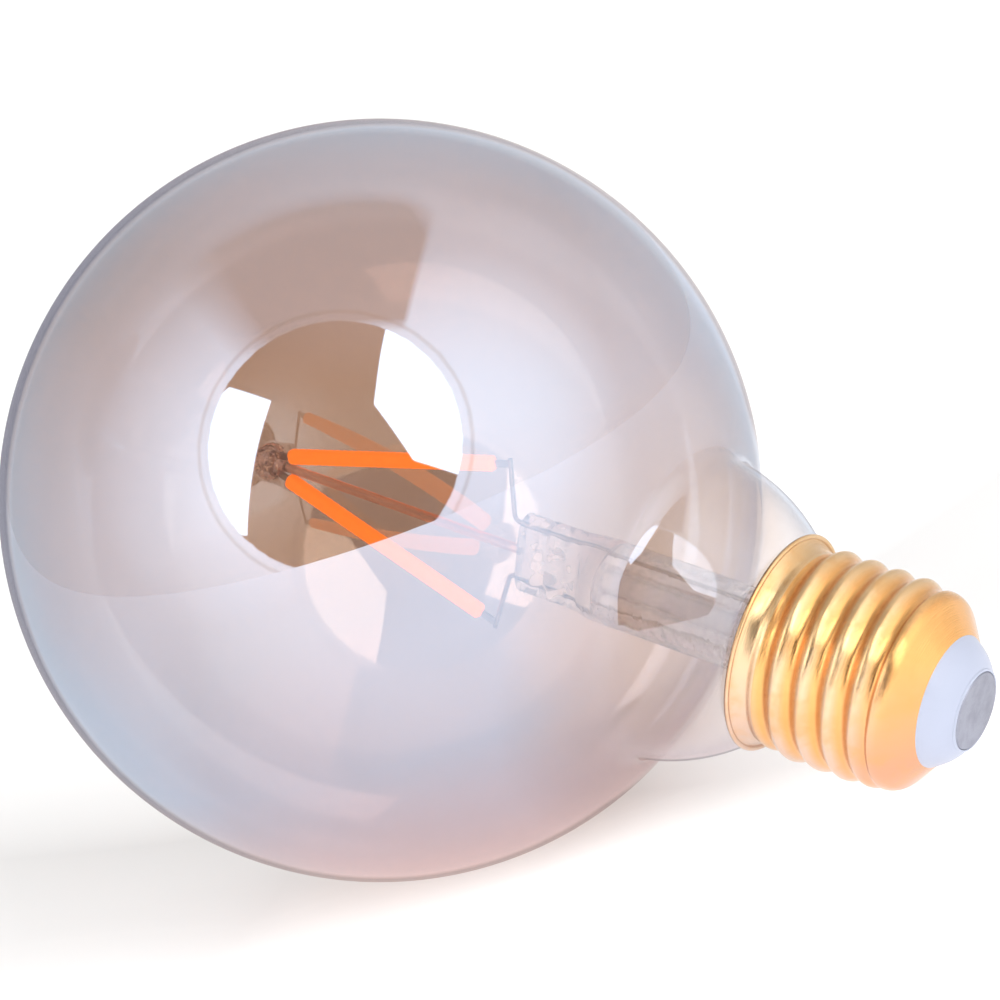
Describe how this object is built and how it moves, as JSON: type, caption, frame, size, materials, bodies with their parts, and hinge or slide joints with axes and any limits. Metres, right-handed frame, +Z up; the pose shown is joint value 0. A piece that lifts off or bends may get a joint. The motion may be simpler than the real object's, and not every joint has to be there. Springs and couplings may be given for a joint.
{
  "type": "globe bulb",
  "caption": "Globe lamp in tinted, half-mirroring glass with light strips in a V on a glass stem, and a gold screw cap.",
  "frame": {"origin": "middle of the lying lamp's footprint, on the floor that its globe and its cap's shoulder touch", "axes": "+X from the globe towards the cap, in the upright plane through the lamp's axis; +Z up; the lamp's axis runs down from the globe to the cap at 28.2 degrees below +X"},
  "size_m": [0.1243, 0.095, 0.095],
  "materials": {
    "coated_glass": "thin mirror coat on warm brown tinted glass",
    "clear_glass": "clear, fire polished",
    "strip_coat": "soft silicone with phosphor",
    "lead_metal": "drawn wire",
    "gold_metal": "bright rolled sheet with a gold coat",
    "insulator_white": "smooth, half gloss",
    "contact_metal": "pressed, matt",
    "cement": "fine grained",
    "board": "solder mask",
    "chip_black": "moulded",
    "can_metal": "drawn can",
    "resistor_coat": "dipped lacquer"
  },
  "bodies": {
    "root": {"glass_globe": "coated_glass", "stem_flare": "clear_glass", "exhaust_tube": "clear_glass", "support_rod": "clear_glass", "hub_link": "lead_metal", "filament_upper": "strip_coat", "filament_lower": "strip_coat", "tabs_upper": "lead_metal", "tabs_lower": "lead_metal", "inner_lead_upper": "lead_metal", "inner_lead_lower": "lead_metal", "outer_lead_upper": "lead_metal", "outer_lead_lower": "lead_metal", "screw_shell": "gold_metal", "cap_insulator": "insulator_white", "centre_contact": "contact_metal", "cap_cement": "cement", "driver_board": "board", "bridge_rectifier": "chip_black", "driver_chip": "chip_black", "smoothing_capacitor": "can_metal", "fuse_resistor": "resistor_coat", "live_wire": "lead_metal", "neutral_wire": "lead_metal"}
  },
  "joints": []
}
